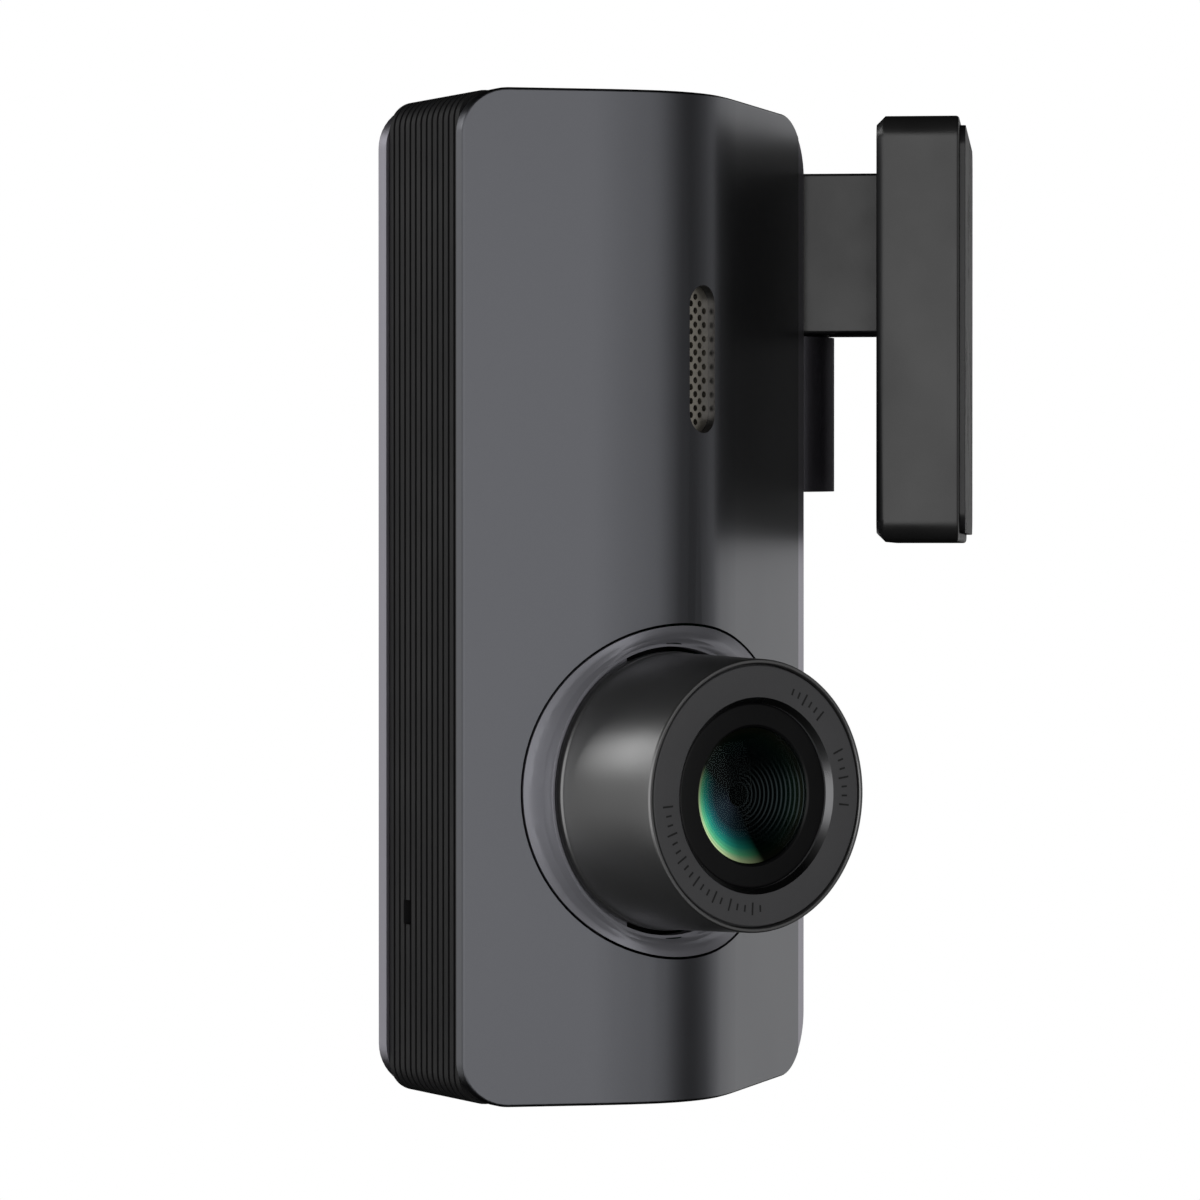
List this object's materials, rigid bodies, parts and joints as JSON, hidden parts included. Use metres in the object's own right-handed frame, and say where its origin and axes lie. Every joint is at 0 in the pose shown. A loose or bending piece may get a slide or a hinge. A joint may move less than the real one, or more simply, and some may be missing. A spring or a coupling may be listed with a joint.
{
  "type": "dash camera",
  "caption": "Windscreen dash camera: a slim rounded body with a wide-angle lens, hinged on an adhesive bracket, with a memory card and a function button.",
  "frame": {"origin": "centre of the bracket's adhesive face, on the windscreen side", "axes": "+X is the adhesive face's outward normal; +Z runs along the camera body's long side, parallel to the hinge axis; the lens looks roughly along -Y"},
  "size_m": [0.0554, 0.076, 0.094],
  "materials": {
    "cover_metallic": "satin gunmetal lacquer on a moulded shell",
    "band_black": "matt black, finely ribbed",
    "rear_metallic": "satin grey with a slight violet cast",
    "bracket_plastic": "fine sparked texture",
    "barrel_metal": "dark anodised, spun satin",
    "ring_black": "satin dark grey",
    "lens_black": "anti-reflection black",
    "lens_glass": "polished, green anti-reflection coating",
    "grille_metal": "etched, dark",
    "steel": "machined",
    "brass": "machined",
    "board_green": "solder mask",
    "chip_black": "moulded epoxy",
    "spreader": "stamped sheet",
    "silicone": "soft, matt",
    "foil": "amber film",
    "capacitor": "shrink sleeve",
    "adhesive": "acrylic foam with a smooth liner",
    "light_clear": "clear acrylic",
    "card_black": "moulded, smooth",
    "button_black": "satin"
  },
  "bodies": {
    "mount": {"bracket_body": "bracket_plastic", "bracket_plate": "bracket_plastic", "plate_screws": "steel", "adhesive_pad": "adhesive", "friction_washer": "lens_black", "hinge_cap": "bracket_plastic"},
    "head": {"front_cover": "cover_metallic", "mid_frame": "band_black", "rear_cover": "rear_metallic", "speaker_grille": "grille_metal", "lens_skirt": "cover_metallic", "light_pipe": "light_clear", "case_screws": "steel", "board_screws": "steel", "hinge_nut": "brass", "lug_plug": "bracket_plastic", "lens_barrel": "barrel_metal", "lens_ring": "ring_black", "lens_retainer": "lens_black", "front_element": "lens_glass", "lens_housing": "lens_black", "second_element": "lens_glass", "third_element": "lens_glass", "rear_element": "lens_glass", "lens_holder": "lens_black", "infrared_filter": "lens_glass", "image_sensor": "chip_black", "sensor_board": "board_green", "sensor_connector": "chip_black", "sensor_screws": "steel", "holder_screws": "steel", "main_board": "board_green", "processor": "chip_black", "thermal_pad": "silicone", "heat_spreader": "spreader", "wireless_module": "spreader", "antenna": "foil", "supercapacitors": "capacitor", "board_connector": "chip_black", "flex_cable": "foil", "speaker": "chip_black", "microphone": "spreader", "usb_socket": "steel", "card_socket": "steel", "tact_switch": "steel", "status_light": "light_clear", "hinge_screw": "steel", "spring_washer": "steel"},
    "memory_card": {"memory_card": "card_black"},
    "function_button": {"function_button": "button_black"}
  },
  "joints": [
    {"name": "head_tilt", "type": "hinge", "parent": "mount", "child": "head", "pos_m": [-0.0186, 0, 0], "axis": [0, 0, 1], "range_deg": [-45, 12]},
    {"name": "card_travel", "type": "slide", "parent": "head", "child": "memory_card", "axis": [0, 0, -1], "range_m": [-0.0008, 0.012]},
    {"name": "button_press", "type": "slide", "parent": "head", "child": "function_button", "axis": [0.5394, -0.8421, 0], "range_m": [0, 0.0004], "stiffness_N_per_m": 800, "springref_m": -0.0003}
  ]
}
